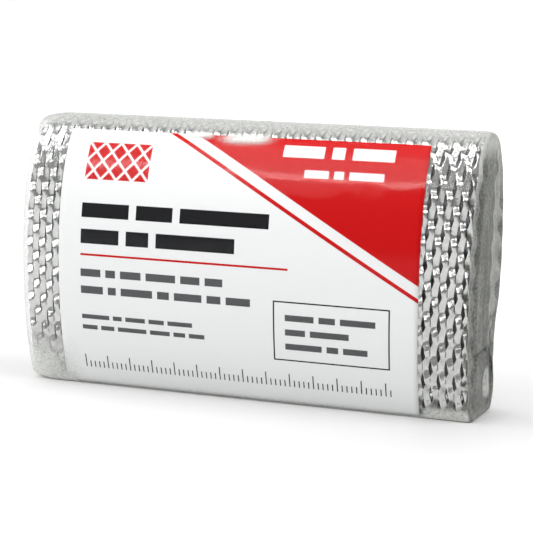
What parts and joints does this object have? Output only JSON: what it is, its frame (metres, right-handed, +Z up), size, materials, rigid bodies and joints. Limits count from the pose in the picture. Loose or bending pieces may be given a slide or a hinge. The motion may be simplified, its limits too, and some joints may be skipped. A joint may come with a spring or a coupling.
{
  "type": "wire mesh splint roll in a clear film wrap with a label card",
  "caption": "Strip of expanded aluminium mesh rolled flat on its long edge, with a plain label card on its front and a clear film wrap closed over both ends.",
  "frame": {"origin": "middle of the footprint, on the surface that the roll stands on", "axes": "+X along the axis of the roll, -Y out of the label's face, +Z up"},
  "size_m": [0.097, 0.024, 0.0569],
  "materials": {
    "mesh": "bright expanded sheet, lightly rolled, with sharp glints on its strands",
    "card": "smooth coated paper, grey-white with a printed red field and plain dark bars",
    "film": "clear glossy shrink film, drawn taut, with fine creases at its closed ends"
  },
  "bodies": {
    "root": {"mesh_roll": "mesh", "label_card": "card", "film_wrap": "film"}
  },
  "joints": []
}
